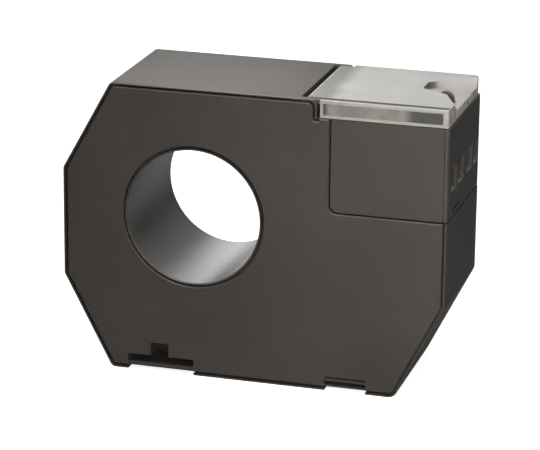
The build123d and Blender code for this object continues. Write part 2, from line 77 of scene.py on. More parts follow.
Piece = bpy.types.Object
Socket = bpy.types.NodeSocket
Tree = bpy.types.NodeTree
Mesh = bmesh.types.BMesh
Face = bmesh.types.BMFace
Pair = tuple[float, float]
Triple = tuple[float, float, float]

LOG = logging.getLogger("current_transformer")
MM = 0.001
PHOTO_WIDTH = 540

ORIGIN = (0.0, 0.0, 0.0)
X_AXIS = (1.0, 0.0, 0.0)
Y_AXIS = (0.0, 1.0, 0.0)
Z_AXIS = (0.0, 0.0, 1.0)
QUARTER_TURN = math.radians(90)

WHITE = (1.0, 1.0, 1.0, 1.0)
PLASTIC_IOR = 1.5
POLYCARBONATE_IOR = 1.58

# How far apart two points still count as one, in millimetres.
NEAR = 0.001

# How straight along an axis a face points that faces along it, and that lies level.
FACING, LEVEL = 0.9, 0.99

# Noise seldom leaves the middle of its range, so tones and gloss run from end to end of that.
NOISE_SPAN = (0.3, 0.7)
FULL_SPAN = (0.0, 1.0)

# A Mix node has its sockets several times, once for each kind of data. These are a colour's.
MIX_FACTOR, MIX_FIRST, MIX_SECOND, MIX_RESULT = 0, 6, 7, 2


def linear(code: str) -> tuple[float, float, float, float]:
    """Turn an sRGB hex colour into the linear colour that a shader takes.

    Args:
        code: Six hex digits.

    Returns:
        Red, green, blue and an alpha of 1.
    """
    shades = []
    for start in (0, 2, 4):
        value = int(code[start:start + 2], 16) / 255
        shades.append(value / 12.92 if value <= 0.04045 else ((value + 0.055) / 1.055) ** 2.4)
    return shades[0], shades[1], shades[2], 1.0


def add_node(tree: Tree, kind: str, values: dict[Any, Any] | None = None,
             links: dict[Any, Socket] | None = None, **settings: Any) -> Node:
    """Add one node with its settings, its socket values and its incoming links.

    Args:
        tree: The node tree to add to.
        kind: The node's type name, without the ShaderNode that it starts with.
        values: Constants for its input sockets, by socket name or number.
        links: Sockets that feed its input sockets, by socket name or number.
        settings: The node's own properties.

    Returns:
        The new node.
    """
    node = tree.nodes.new("ShaderNode" + kind)
    for name, value in settings.items():
        setattr(node, name, value)
    for name, value in (values or {}).items():
        node.inputs[name].default_value = value
    for name, socket in (links or {}).items():
        tree.links.new(socket, node.inputs[name])
    return node


def remap(value: Socket, span: Pair, to: Pair, **settings: Any) -> Socket:
    """Carry a value from one range to another, without going past its ends.

    Args:
        value: The value that is read.
        span: The range that it is read over.
        to: What the ends of that range become.
        settings: The node's own properties.

    Returns:
        The new value.
    """
    node = add_node(value.id_data, "MapRange",
                    {"From Min": span[0], "From Max": span[1], "To Min": to[0], "To Max": to[1]},
                    {"Value": value}, **settings)
    return node.outputs[0]


def compute(operation: str, first: Socket, *others: Socket | float) -> Socket:
    """Do one sum on sockets and numbers.

    Args:
        operation: The Math node's operation.
        first: What it is done on.
        others: What it is done with, in order.

    Returns:
        The result.
    """
    values, links = {}, {0: first}
    for place, term in enumerate(others, 1):
        (values if isinstance(term, float) else links)[place] = term
    node = add_node(first.id_data, "Math", values, links, operation=operation)
    return node.outputs[0]


def tones(value: Socket, dark: str, light: str, span: Pair = NOISE_SPAN) -> Socket:
    """Turn a value into a colour between two tones.

    Args:
        value: The value that is read.
        dark: The colour at the low end.
        light: The colour at the high end.
        span: The range that it is read over.

    Returns:
        The colour.
    """
    ramp = add_node(value.id_data, "ValToRGB", {}, {"Fac": value})
    for end, place, code in zip(ramp.color_ramp.elements, span, (dark, light)):
        end.position, end.color = place, linear(code)
    return ramp.outputs["Color"]


class Slot(Enum):
    """The material slots of the record, each worn by one or more pieces."""

    CASE = "case_plastic"
    LID = "lid_plastic"
    CORE = "core_strip"
    INNER = "inner_plastic"
    WINDING = "winding_wire"
    SCREW = "screw_steel"
    CARRIER = "carrier_plastic"
    CLAMP = "clamp_steel"
    BAR = "bar_brass"
    SLEEVE = "sleeve_plastic"


@dataclass(frozen=True)
class Finish:
    """What every finish has: its name, and how its node tree starts and ends.

    Args:
        name: What the material is.
    """

    name: str

    def start(self) -> tuple[Material, Tree, Socket]:
        """Make an empty material.

        Returns:
            The material, its node tree and the Object coordinates to draw patterns on.
        """
        material = bpy.data.materials.new(self.name)
        material.use_nodes = True
        tree = material.node_tree
        tree.nodes.clear()
        return material, tree, add_node(tree, "TexCoord").outputs["Object"]

    def noise(self, where: Socket, size: float, detail: float, roughness: float = 0.5) -> Socket:
        """Draw noise on some coordinates.

        Args:
            where: The coordinates.
            size: The width of its largest spots, in millimetres.
            detail: How many finer layers it has.
            roughness: How strong these are.

        Returns:
            The noise's value.
        """
        node = add_node(where.id_data, "TexNoise",
                        {"Scale": 1 / (size * MM), "Detail": detail, "Roughness": roughness},
                        {"Vector": where})
        return node.outputs["Fac"]

    def bumps(self, height: Socket, strength: float, depth: float) -> Socket:
        """Turn a pattern into a relief.

        Args:
            height: The pattern.
            strength: How much of it shows.
            depth: How deep it is, in millimetres.

        Returns:
            The surface's new direction.
        """
        node = add_node(height.id_data, "Bump",
                        {"Strength": strength, "Distance": depth * MM}, {"Height": height})
        return node.outputs["Normal"]

    def close(self, tree: Tree, values: dict[str, Any], links: dict[str, Socket]) -> None:
        """End the tree in a shader and the material's output.

        Args:
            tree: The material's node tree.
            values: The shader's constants, by socket name.
            links: What feeds its other sockets.
        """
        shader = add_node(tree, "BsdfPrincipled", values, links)
        add_node(tree, "OutputMaterial", links={"Surface": shader.outputs[0]})


@dataclass(frozen=True)
class MouldedPlastic(Finish):
    """Injection-moulded plastic with a spark-eroded skin.

    The eye gets a matt surface with a fine pebble, a slow drift of tone from the flow of the
    melt, and a sheen that breaks up a little.

    Args:
        light: The colour of its lighter parts.
        dark: The colour of its darker parts.
        gloss: Its roughness where it is smoothest and roughest.
        pebble: The width of a grain of its skin.
        relief: The depth of its skin.
        drift: The width of a change of tone.
        speckle: How much of the tone comes from the skin.
        skin: How much of the skin's relief shows.
    """

    light: str
    dark: str
    gloss: Pair
    pebble: float
    relief: float
    drift: float = 26.0
    speckle: float = 0.25
    skin: float = 0.35

    def build(self) -> Material:
        """Make the material.

        Returns:
            The material.
        """
        material, tree, where = self.start()
        flow = self.noise(where, self.drift, detail=3.0)
        grain = self.noise(where, self.pebble, detail=2.0, roughness=0.6)
        tone = compute("ADD", compute("MULTIPLY", flow, 1.0 - self.speckle),
                       compute("MULTIPLY", grain, self.speckle))
        sheen = remap(grain, NOISE_SPAN, self.gloss)
        self.close(tree, {"IOR": PLASTIC_IOR},
                   {"Base Color": tones(tone, self.dark, self.light), "Roughness": sheen,
                    "Normal": self.bumps(grain, self.skin, self.relief)})
        return material


@dataclass(frozen=True)
class MilkyPlastic(Finish):
    """Moulded clear polycarbonate, gone a little milky.

    The eye gets a pale, smooth body with slow clouds in it from the flow of the melt, and grey
    patches of painted shade where nothing pale lies close behind a thin wall.

    Args:
        light: The colour of its lighter clouds.
        dark: The colour of its darker clouds.
        gloss: Its roughness where it is smoothest and roughest.
        clearness: How much light goes through it.
        cloud: The width of a cloud.
        dim: The colour of a patch of painted shade.
        patches: For each patch of painted shade along X, where it is still pale and where it is
            fully grey.
        waver: How far the clouds shift a patch's border.
    """

    light: str
    dark: str
    gloss: Pair
    clearness: float
    cloud: float
    dim: str = ""
    patches: tuple[Pair, ...] = ()
    waver: float = 1.5

    def build(self) -> Material:
        """Make the material.

        Returns:
            The material.
        """
        material, tree, where = self.start()
        flow = self.noise(where, self.cloud, detail=1.0, roughness=0.4)
        shade = tones(flow, self.dark, self.light)
        along = add_node(tree, "SeparateXYZ", {}, {0: where}).outputs["X"]
        drift = remap(flow, FULL_SPAN, (-self.waver * MM, self.waver * MM))
        wavy = compute("ADD", along, drift)
        # Each patch is painted shade, running from pale to grey along X.
        for pale, grey in self.patches:
            patch = remap(wavy, (min(pale, grey) * MM, max(pale, grey) * MM),
                          (float(grey < pale), float(grey > pale)),
                          interpolation_type="SMOOTHSTEP")
            mix = add_node(tree, "Mix", {MIX_SECOND: linear(self.dim)},
                           {MIX_FACTOR: patch, MIX_FIRST: shade}, data_type="RGBA")
            shade = mix.outputs[MIX_RESULT]
        sheen = remap(flow, NOISE_SPAN, self.gloss)
        self.close(tree, {"IOR": POLYCARBONATE_IOR, "Transmission Weight": self.clearness},
                   {"Base Color": shade, "Roughness": sheen})
        return material


@dataclass(frozen=True)
class PlatedMetal(Finish):
    """Plated or bare sheet metal and turned screws.

    The eye gets a soft metallic sheen with fine drawing lines along one direction and a slight
    unevenness in the plating.

    Args:
        colour: The metal's colour.
        gloss: Its roughness where it is smoothest and roughest.
        line: The width of a drawing line.
        relief: The depth of the lines.
        along: How dense the lines are along X, Y and Z, least along the direction of drawing.
        blotch: The width of an uneven spot in the plating.
        product: The range that lines times spots mostly stay in.
        drawn: How much of the lines' relief shows.
    """

    colour: str
    gloss: Pair
    line: float
    relief: float
    along: Triple = (1.0, 1.0, 0.12)
    blotch: float = 3.0
    product: Pair = (0.1, 0.45)
    drawn: float = 0.3

    def build(self) -> Material:
        """Make the material.

        Returns:
            The material.
        """
        material, tree, where = self.start()
        stretch = add_node(tree, "Mapping", {"Scale": self.along}, {"Vector": where})
        lines = self.noise(stretch.outputs[0], self.line, detail=2.0, roughness=0.6)
        spots = compute("MULTIPLY", lines, self.noise(where, self.blotch, detail=2.0))
        sheen = remap(spots, self.product, self.gloss)
        self.close(tree, {"Base Color": linear(self.colour), "Metallic": 1.0},
                   {"Roughness": sheen, "Normal": self.bumps(lines, self.drawn, self.relief)})
        return material


@dataclass(frozen=True)
class WoundStrip(Finish):
    """Thin magnetic strip, wound flat into a ring.

    The eye gets fine concentric lines on the ring's faces, where the edges of the strip show.
    The layers are drawn coarser than real ones, to show at all.

    Args:
        colour: The strip's colour.
        gloss: Its roughness where it is smoothest and roughest.
        layer: The thickness of a layer.
        relief: The depth of the lines between the layers.
    """

    colour: str
    gloss: Pair
    layer: float
    relief: float = 0.05

    def build(self) -> Material:
        """Make the material.

        Returns:
            The material.
        """
        material, tree, where = self.start()
        wave = add_node(tree, "TexWave",
                        {"Scale": 1 / (math.tau * self.layer * MM), "Distortion": 0.6,
                         "Detail": 2.0, "Detail Scale": 1.5},
                        {"Vector": where}, wave_type="RINGS", rings_direction="Y")
        layers = wave.outputs["Fac"]
        sheen = remap(layers, FULL_SPAN, self.gloss)
        self.close(tree, {"Base Color": linear(self.colour), "Metallic": 1.0},
                   {"Roughness": sheen,
                    "Normal": self.bumps(layers, strength=0.4, depth=self.relief)})
        return material


@dataclass(frozen=True)
class EnamelledCopper(Finish):
    """Copper winding wire under clear enamel.

    The eye gets a warm metal under a glossy coat, with a tone that changes from turn to turn.

    Args:
        light: The colour of its lighter turns.
        dark: The colour of its darker turns.
        gloss: Its roughness where it is smoothest and roughest.
        turn: The width of a change of tone.
        relief: The depth of the enamel's waves.
    """

    light: str
    dark: str
    gloss: Pair
    turn: float
    relief: float = 0.03

    def build(self) -> Material:
        """Make the material.

        Returns:
            The material.
        """
        material, tree, where = self.start()
        tone = self.noise(where, self.turn, detail=2.0)
        sheen = remap(tone, FULL_SPAN, self.gloss)
        self.close(tree, {"Metallic": 0.85, "Coat Weight": 0.8, "Coat Roughness": 0.12},
                   {"Base Color": tones(tone, self.dark, self.light), "Roughness": sheen,
                    "Normal": self.bumps(tone, strength=0.2, depth=self.relief)})
        return material


@dataclass(frozen=True)
class WovenSleeve(Finish):
    """Varnished glass-fibre sleeving.

    The eye gets a pale tube with a fine plaited relief.

    Args:
        light: The colour of the strands.
        dark: The colour between them.
        strand: The width of a strand.
        lay: The angle that the strands run at, in degrees.
        relief: The depth of the plait.
    """

    light: str
    dark: str
    strand: float
    lay: float = 35.0
    relief: float = 0.08

    def build(self) -> Material:
        """Make the material.

        Returns:
            The material.
        """
        material, tree, where = self.start()
        turned = add_node(tree, "Mapping",
                          {"Rotation": (0.0, math.radians(self.lay), 0.0)}, {"Vector": where})
        wave = add_node(tree, "TexWave",
                        {"Scale": 1 / (math.tau * self.strand * MM), "Distortion": 1.0,
                         "Detail": 1.0},
                        {"Vector": turned.outputs[0]}, bands_direction="DIAGONAL")
        plait = wave.outputs["Fac"]
        self.close(tree, {"Roughness": 0.55, "IOR": PLASTIC_IOR},
                   {"Base Color": tones(plait, self.dark, self.light, FULL_SPAN),
                    "Normal": self.bumps(plait, strength=0.5, depth=self.relief)})
        return material


class LidZone(Enum):
    """Where the lid's plastic lets more or less light through, by how thick it is, and gets a tone
    of its own: painted highlight on its edges and painted shade where dark parts lie behind it or
    no light gets in.

    The values are the places of the materials on the lid's piece.
    """

    PLATE = 0
    RIM = 1
    PANEL = 2
    SHADE = 3
    SCOOP = 4
    END = 5


@dataclass
class Wardrobe:
    """The finish of every material slot and of every zone of the lid, each made once.

    Args:
        made: The slots' materials.
        zones: The materials of the lid's zones.
    """

    made: dict[Slot, Material] = field(default_factory=dict)
    zones: dict[LidZone, Material] = field(default_factory=dict)

    def __post_init__(self) -> None:
        """Make all the finishes."""
        finishes = {
            # A dark, warm grey with a matt, pebbled skin, for the whole outside.
            Slot.CASE: MouldedPlastic("moulded dark polycarbonate", "4b4743", "423e3a",
                                      (0.34, 0.43), 0.55, 0.05),
            # A pale body that shows a little of what is behind it.
            Slot.LID: MilkyPlastic("milky clear polycarbonate", "d9d6d1", "cfccc6",
                                   (0.27, 0.33), 0.5, 14.0),
            # Cool grey metal in fine rings.
            Slot.CORE: WoundStrip("wound magnetic strip", "8d9196", (0.28, 0.53), 0.35),
            # The off-white of uncoloured nylon, with no sheen to speak of.
            Slot.INNER: MouldedPlastic("natural nylon", "cfccbf", "bdb9aa",
                                       (0.46, 0.55), 0.7, 0.04),
            # Warm copper under gloss.
            Slot.WINDING: EnamelledCopper("enamelled copper wire", "b5643a", "8a4526",
                                          (0.28, 0.43), 0.8),
            # The bright, slightly blue grey of zinc.
            Slot.SCREW: PlatedMetal("zinc-plated screw steel", "b9babd",
                                    (0.22, 0.42), 0.5, 0.003),
            # Nearly black, so that the metal in it stands out.
            Slot.CARRIER: MouldedPlastic("black glass-filled nylon", "2b2a29", "201f1e",
                                         (0.38, 0.47), 0.6, 0.05),
            # A duller grey than the screws, with drawing lines.
            Slot.CLAMP: PlatedMetal("zinc-plated clamp steel", "b3b4b5",
                                    (0.26, 0.46), 0.4, 0.004),
            # Yellow metal, drawn along the bar.
            Slot.BAR: PlatedMetal("stamped brass", "c9a05e", (0.24, 0.44), 0.4, 0.004,
                                  (0.12, 1.0, 1.0)),
            # Straw-coloured and plaited.
            Slot.SLEEVE: WovenSleeve("varnished glass sleeving", "d9d2bd", "a89f86", 0.4),
        }
        for slot, finish in finishes.items():
            self.made[slot] = finish.build()
            LOG.info("finish %s for slot %s", finish.name, slot.value)
        zones = {
            # The broad pale face, with painted shade near the hinge.
            LidZone.PLATE: MilkyPlastic("milky polycarbonate plate", "e2dfda", "d2cfca",
                                        (0.27, 0.33), 0.34, 14.0, "9a9791", ((36.5, 32.0),)),
            # Painted highlight on the edges, which gather light and shine round every face.
            LidZone.RIM: MilkyPlastic("polycarbonate edge full of light", "cac8bf", "c0bdb3",
                                      (0.27, 0.33), 0.3, 14.0),
            # The clearest wall, with painted shade where the dark pockets lie close behind it.
            LidZone.PANEL: MilkyPlastic("thin polycarbonate skirt", "d6d3c8", "b9b6ab",
                                        (0.25, 0.31), 0.62, 5.0, "7a7871",
                                        ((35.2, 33.8), (53.4, 56.6))),
            # A dark line where the skirt meets the plate and no light gets in.
            LidZone.SHADE: MilkyPlastic("polycarbonate corner in shade", "2b2925", "24221f",
                                        (0.31, 0.37), 0.1, 9.0),
            # The pale end wall inside its border.
            LidZone.END: MilkyPlastic("thin polycarbonate end wall", "dedacd", "cfcbbe",
                                      (0.25, 0.31), 0.15, 4.0),
            # The recess, pale but for painted shade at its deep tip.
            LidZone.SCOOP: MilkyPlastic("thin polycarbonate recess", "e2dfd8", "cecbc4",
                                        (0.27, 0.33), 0.36, 9.0, "55534d", ((56.6, 54.7),)),
        }
        for zone, finish in zones.items():
            self.zones[zone] = finish.build()
            LOG.info("finish %s for lid zone %s", finish.name, zone.name)

    def dress(self, piece: Piece, slot: Slot) -> None:
        """Give a piece its slot's material, in every material place that it has.

        Args:
            piece: The piece.
            slot: Its slot.
        """
        material = self.made[slot]
        if not piece.data.materials:
            piece.data.materials.append(material)
        for index in range(len(piece.data.materials)):
            piece.data.materials[index] = material

    def dress_frame(self, frame: dict[str, Any]) -> None:
        """Give every CAD node the finish of its slot in the record.

        Args:
            frame: The loaded CAD frame.
        """
        for part in frame["record"]["subparts"]:
            self.dress(frame["nodes"][part["node"]], Slot(part["material_slot"]))
            LOG.info("piece %s wears %s", part["node"], part["material_slot"])


def whole(shape: Mesh) -> list[Any]:
    """Return all of a mesh's points, edges and faces, as the cutting operators take them."""
    return shape.verts[:] + shape.edges[:] + shape.faces[:]


def around(faces: list[Face]) -> list[Any]:
    """Return some faces with their points and edges, as the cutting operators take them."""
    return list({item for face in faces for item in (*face.verts, *face.edges)}) + faces


def put(name: str, data: bpy.types.ID) -> Piece:
    """Put an object with some data into the scene, at the origin.

    Args:
        name: The object's name.
        data: Its mesh, camera or lamp.

    Returns:
        The object.
    """
    thing = bpy.data.objects.new(name, data)
    bpy.context.scene.collection.objects.link(thing)
    return thing


def finish_piece(name: str, shape: Mesh, crease: float) -> Piece:
    """Turn a finished bmesh into a shaded object at the origin.

    Args:
        name: The piece's name.
        shape: Its mesh, which is used up.
        crease: The angle in degrees from which an edge stays sharp.

    Returns:
        The piece.
    """
    for face in shape.faces:
        face.smooth = True
    sharp = math.radians(crease)
    for edge in shape.edges:
        edge.smooth = len(edge.link_faces) == 2 and edge.calc_face_angle(0.0) < sharp
    mesh = bpy.data.meshes.new(name)
    shape.to_mesh(mesh)
    shape.free()
    LOG.info("piece %s has %d faces", name, len(mesh.polygons))
    return put(name, mesh)


@dataclass
class TerminalLid:
    """The hinged terminal lid, its skirt, plate and edges told apart by how they take light, with
    painted highlight and painted shade.

    Args:
        front: Where the front skirt's border stands.
        back: Where the back skirt stands.
        right: Where the free end's skirt stands.
        top: The height of the plate's upper face.
        bottom: The height of the skirt's lower edge.
        edge: How far the rounded edges reach into the faces.
        panel: How far behind the front skirt's border its thin panel lies, at least and at most.
        shade: The front and back of the shaded line where the skirt meets the plate.
        frame: How high the border of the free end, bright with painted highlight, is above and
            below.
        frame_side: How wide that border is in front and at the back.
        scoop: Where the sealing recess starts.
        scoop_half: Half the width of the recess, with its walls.
        scoop_depth: How far below the plate's face it goes.
        slack: How far behind the free end's plane a face of it may stand.
        near_top: How far below the plate's upper face one of its faces may stand.
        near_bottom: How far above the skirt's lower edge one of its faces may stand.
        tilt: How much, at least, the rounded edge and the recess face up, and its wall back.
        crease: The angle from which an edge stays sharp, in degrees.
    """

    front: float = -17.9
    back: float = 17.9
    right: float = 65.1
    top: float = 33.5
    bottom: float = 28.9
    edge: float = 0.32
    panel: Pair = (0.1, 0.6)
    shade: Pair = (-17.56, -15.8)
    frame: float = 0.75
    frame_side: float = 1.3
    scoop: float = 53.9
    scoop_half: float = 16.6
    scoop_depth: float = 4.0
    slack: float = 0.1
    near_top: float = 0.02
    near_bottom: float = 0.05
    tilt: Triple = (0.1, 0.2, 0.3)
    crease: float = 32.0

    def cut(self, shape: Mesh, geometry: list[Any], place: Triple, normal: Triple) -> None:
        """Cut new edges into some faces along a plane.

        Args:
            shape: The lid.
            geometry: The faces, with their points and edges.
            place: A point of the plane, in millimetres.
            normal: The plane's direction.
        """
        bmesh.ops.bisect_plane(shape, geom=geometry, dist=NEAR * MM,
                               plane_co=Vector(place) * MM, plane_no=normal)

    def shell(self, source: Piece) -> Mesh:
        """Return a merged copy of the CAD lid, cut along the borders of its zones.

        Args:
            source: The CAD node's object.

        Returns:
            The mesh, in metres.
        """
        shape = bmesh.new()
        shape.from_mesh(source.data)
        bmesh.ops.remove_doubles(shape, verts=shape.verts, dist=NEAR / 2 * MM)
        bmesh.ops.dissolve_limit(shape, angle_limit=math.radians(0.4), verts=shape.verts,
                                 edges=shape.edges, delimit={"NORMAL"})
        for value in self.shade:
            self.cut(shape, whole(shape), (0.0, value, 0.0), Y_AXIS)
        for place, normal in (((0.0, 0.0, self.bottom + self.frame), Z_AXIS),
                              ((0.0, 0.0, self.top - self.frame), Z_AXIS),
                              ((0.0, self.front + self.frame_side, 0.0), Y_AXIS),
                              ((0.0, self.back - self.frame_side, 0.0), Y_AXIS)):
            end = [face for face in shape.faces if face.normal.x > FACING
                   and face.calc_center_median().x > (self.right - self.slack) * MM]
            self.cut(shape, around(end), place, normal)
        return shape

    def zone(self, face: Face) -> LidZone:
        """Tell which zone a face belongs to, from its middle and its direction.

        Args:
            face: A face of the lid.

        Returns:
            The zone.
        """
        x, y, z = face.calc_center_median() / MM
        normal = face.normal
        if z > self.top - self.near_top and normal.z > LEVEL:
            return LidZone.SHADE if self.shade[0] < y < self.shade[1] else LidZone.PLATE
        near, far = self.panel
        if normal.y < -FACING and self.front + near < y < self.front + far:
            return LidZone.PANEL
        if normal.x > FACING and x > self.right - self.slack:
            between = self.bottom + self.frame < z < self.top - self.frame
            inside = between and abs(y) < self.back - self.frame_side
            return LidZone.END if inside else LidZone.RIM
        rounded, recess, wall = self.tilt
        in_scoop = x > self.scoop and abs(y) < self.scoop_half and z > self.top - self.scoop_depth
        if in_scoop and normal.z > recess:
            # The recess's back wall gets the painted highlight of the edges.
            return LidZone.RIM if normal.y > wall else LidZone.SCOOP
        # The rounded edges and the skirt's lower edge get the painted highlight.
        across = y < self.front + self.edge or y > self.back - self.edge
        upper = z > self.top - self.edge and rounded < normal.z < LEVEL
        lower = z < self.bottom + self.near_bottom
        if across or x > self.right - self.edge or upper or lower:
            return LidZone.RIM
        return LidZone.PLATE

    def dress(self, piece: Piece, wardrobe: Wardrobe) -> None:
        """Give the lid the materials of its zones, in the order of their values.

        Args:
            piece: The lid.
            wardrobe: The finishes.
        """
        for zone in LidZone:
            piece.data.materials.append(wardrobe.zones[zone])

    def build(self, frame: dict[str, Any], wardrobe: Wardrobe) -> None:
        """Make the lid's piece, dress it and hang it on the lid's body.

        Args:
            frame: The loaded CAD frame.
            wardrobe: The finishes.
        """
        shape = self.shell(frame["nodes"]["terminal_lid"])
        for face in shape.faces:
            face.material_index = self.zone(face).value
        piece = finish_piece("lid_moulding", shape, self.crease)
        self.dress(piece, wardrobe)
        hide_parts("terminal_lid")
        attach(piece, "lid")


@dataclass
class TerminalScrews:
    """The four terminal screws, turned, rolled and struck with a slot that has a cross in it.

    Args:
        x: Where they stand.
        rows: Where each stands across the object.
        head_radius: The radius of the head.
        head_height: The height of the head.
        head_cut: The cut on the lower edge of the head.
        edge: How far the head's upper edge is rounded.
        edge_steps: How many steps that rounding is drawn in.
        core_radius: The radius of the shank between its threads.
        tip_cut: The cut on the shank's tip.
        thread_radius: The radius over the threads.
        thread_start: Where the first thread starts above the tip.
        thread_rest: How much of the shank has no thread, at both ends together.
        pitch: The distance from one thread to the next.
        crest: Where a thread's crest starts and ends and where it is back at the core, in shares
            of the pitch.
        slot: The half length, half width and depth of the slot.
        cross: The half length and half width of the short arms across the slot.
        taper: How much of its length and width the slot keeps at its floor.
        turn: How far the slots are turned, in degrees.
        sides: How many sides a screw is drawn with.
        crease: The angle from which an edge stays sharp, in degrees.
    """

    x: float = 57.4
    rows: tuple[float, ...] = (-10.8, -4.0, 6.9, 13.7)
    head_radius: float = 2.6
    head_height: float = 1.8
    head_cut: float = 0.12
    edge: float = 0.35
    edge_steps: int = 3
    core_radius: float = 1.42
    tip_cut: float = 0.4
    thread_radius: float = 1.74
    thread_start: float = 0.5
    thread_rest: float = 1.0
    pitch: float = 0.7
    crest: Triple = (0.3, 0.42, 0.72)
    slot: Triple = (2.05, 0.4, 0.9)
    cross: Pair = (1.15, 0.4)
    taper: Pair = (0.94, 0.86)
    turn: float = 25.0
    sides: int = 32
    crease: float = 28.0

    def profile(self, shape: Mesh, length: float) -> list[Any]:
        """Draw the outline that is spun: the tip, the threads and the head, from the axis out.

        Args:
            shape: The mesh to draw in.
            length: The length of the shank.

        Returns:
            The outline's points and edges.
        """
        line = [(0.0, 0.0), (self.core_radius - self.tip_cut, 0.0),
                (self.core_radius, self.tip_cut)]
        rise, fall, foot = (share * self.pitch for share in self.crest)
        for index in range(int((length - self.thread_rest) / self.pitch)):
            low = self.thread_start + index * self.pitch
            line += [(self.core_radius, low), (self.thread_radius, low + rise),
                     (self.thread_radius, low + fall), (self.core_radius, low + foot)]
        line += [(self.core_radius, length), (self.head_radius - self.head_cut, length),
                 (self.head_radius, length + self.head_cut),
                 (self.head_radius, length + self.head_height - self.edge)]
        for step in range(1, self.edge_steps + 1):
            angle = QUARTER_TURN * step / self.edge_steps
            line.append((self.head_radius - self.edge * (1 - math.cos(angle)),
                         length + self.head_height - self.edge * (1 - math.sin(angle))))
        points = [shape.verts.new((radius, 0.0, height)) for radius, height in line]
        edges = [shape.edges.new(pair) for pair in zip(points, points[1:])]
        return points + edges

    def upper(self, shape: Mesh, top: float) -> list[Face]:
        """Return the faces of the head's top.

        Args:
            shape: The screw.
            top: The height of the head's top.

        Returns:
            The level faces at that height.
        """
        return [face for face in shape.faces
                if face.normal.z > LEVEL and face.calc_center_median().z > top - NEAR]

    def strike(self, shape: Mesh, top: float) -> None:
        """Close the head's top and sink the slot and its cross into it.

        Args:
            shape: The spun screw.
            top: The height of the head's top.
        """
        rim = [edge for edge in shape.edges if len(edge.link_faces) == 1
               and min(point.co.z for point in edge.verts) > top - NEAR]
        bmesh.ops.contextual_create(shape, geom=rim)
        long, wide, deep = self.slot
        arm, thick = self.cross
        for half, normal in ((wide, Y_AXIS), (long, X_AXIS), (thick, X_AXIS), (arm, Y_AXIS)):
            for value in (half, -half):
                bmesh.ops.bisect_plane(shape, geom=around(self.upper(shape, top)), dist=NEAR / 10,
                                       plane_co=Vector(normal) * value, plane_no=normal)
        struck = []
        for face in self.upper(shape, top):
            middle = face.calc_center_median()
            in_slot = abs(middle.x) < long and abs(middle.y) < wide
            in_cross = abs(middle.x) < thick and abs(middle.y) < arm
            if in_slot or in_cross:
                struck.append(face)
        sunk = bmesh.ops.extrude_face_region(shape, geom=struck)
        points = [item for item in sunk["geom"] if isinstance(item, bmesh.types.BMVert)]
        bmesh.ops.translate(shape, verts=points, vec=(0.0, 0.0, -deep))
        bmesh.ops.scale(shape, verts=points, vec=(*self.taper, 1.0))
        bmesh.ops.delete(shape, geom=[face for face in struck if face.is_valid],
                         context="FACES_ONLY")

    def one(self, length: float, place: Vector) -> Mesh:
        """Return one screw in metres, at its place.

        Args:
            length: The length of its shank.
            place: The lower end of its axis, in millimetres.

        Returns:
            The screw.
        """
        shape = bmesh.new()
        outline = self.profile(shape, length)
        bmesh.ops.spin(shape, geom=outline, cent=ORIGIN, axis=Z_AXIS, dvec=ORIGIN,
                       angle=math.tau, steps=self.sides, use_merge=True, use_duplicate=False)
        bmesh.ops.remove_doubles(shape, verts=shape.verts, dist=NEAR)
        bmesh.ops.recalc_face_normals(shape, faces=shape.faces)
        self.strike(shape, length + self.head_height)
        bmesh.ops.recalc_face_normals(shape, faces=shape.faces)
        bmesh.ops.rotate(shape, verts=shape.verts, cent=ORIGIN,
                         matrix=Matrix.Rotation(math.radians(self.turn), 3, "Z"))
        bmesh.ops.translate(shape, verts=shape.verts, vec=place)
        bmesh.ops.scale(shape, verts=shape.verts, vec=(MM, MM, MM))
        return shape

    def build(self, wardrobe: Wardrobe) -> None:
        """Make the four screws as one piece, dress it and hang it on the case.

        Args:
            wardrobe: The finishes.
        """
        low, high = (corner[2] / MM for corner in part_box("terminal_screws"))
        together = bmesh.new()
        for row in self.rows:
            screw = self.one(high - low - self.head_height, Vector((self.x, row, low)))
            mesh = bpy.data.meshes.new("screw")
            screw.to_mesh(mesh)
            screw.free()
            together.from_mesh(mesh)
            bpy.data.meshes.remove(mesh)
        piece = finish_piece("screws_turned", together, self.crease)
        wardrobe.dress(piece, Slot.SCREW)
        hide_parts("terminal_screws")
        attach(piece, "case")


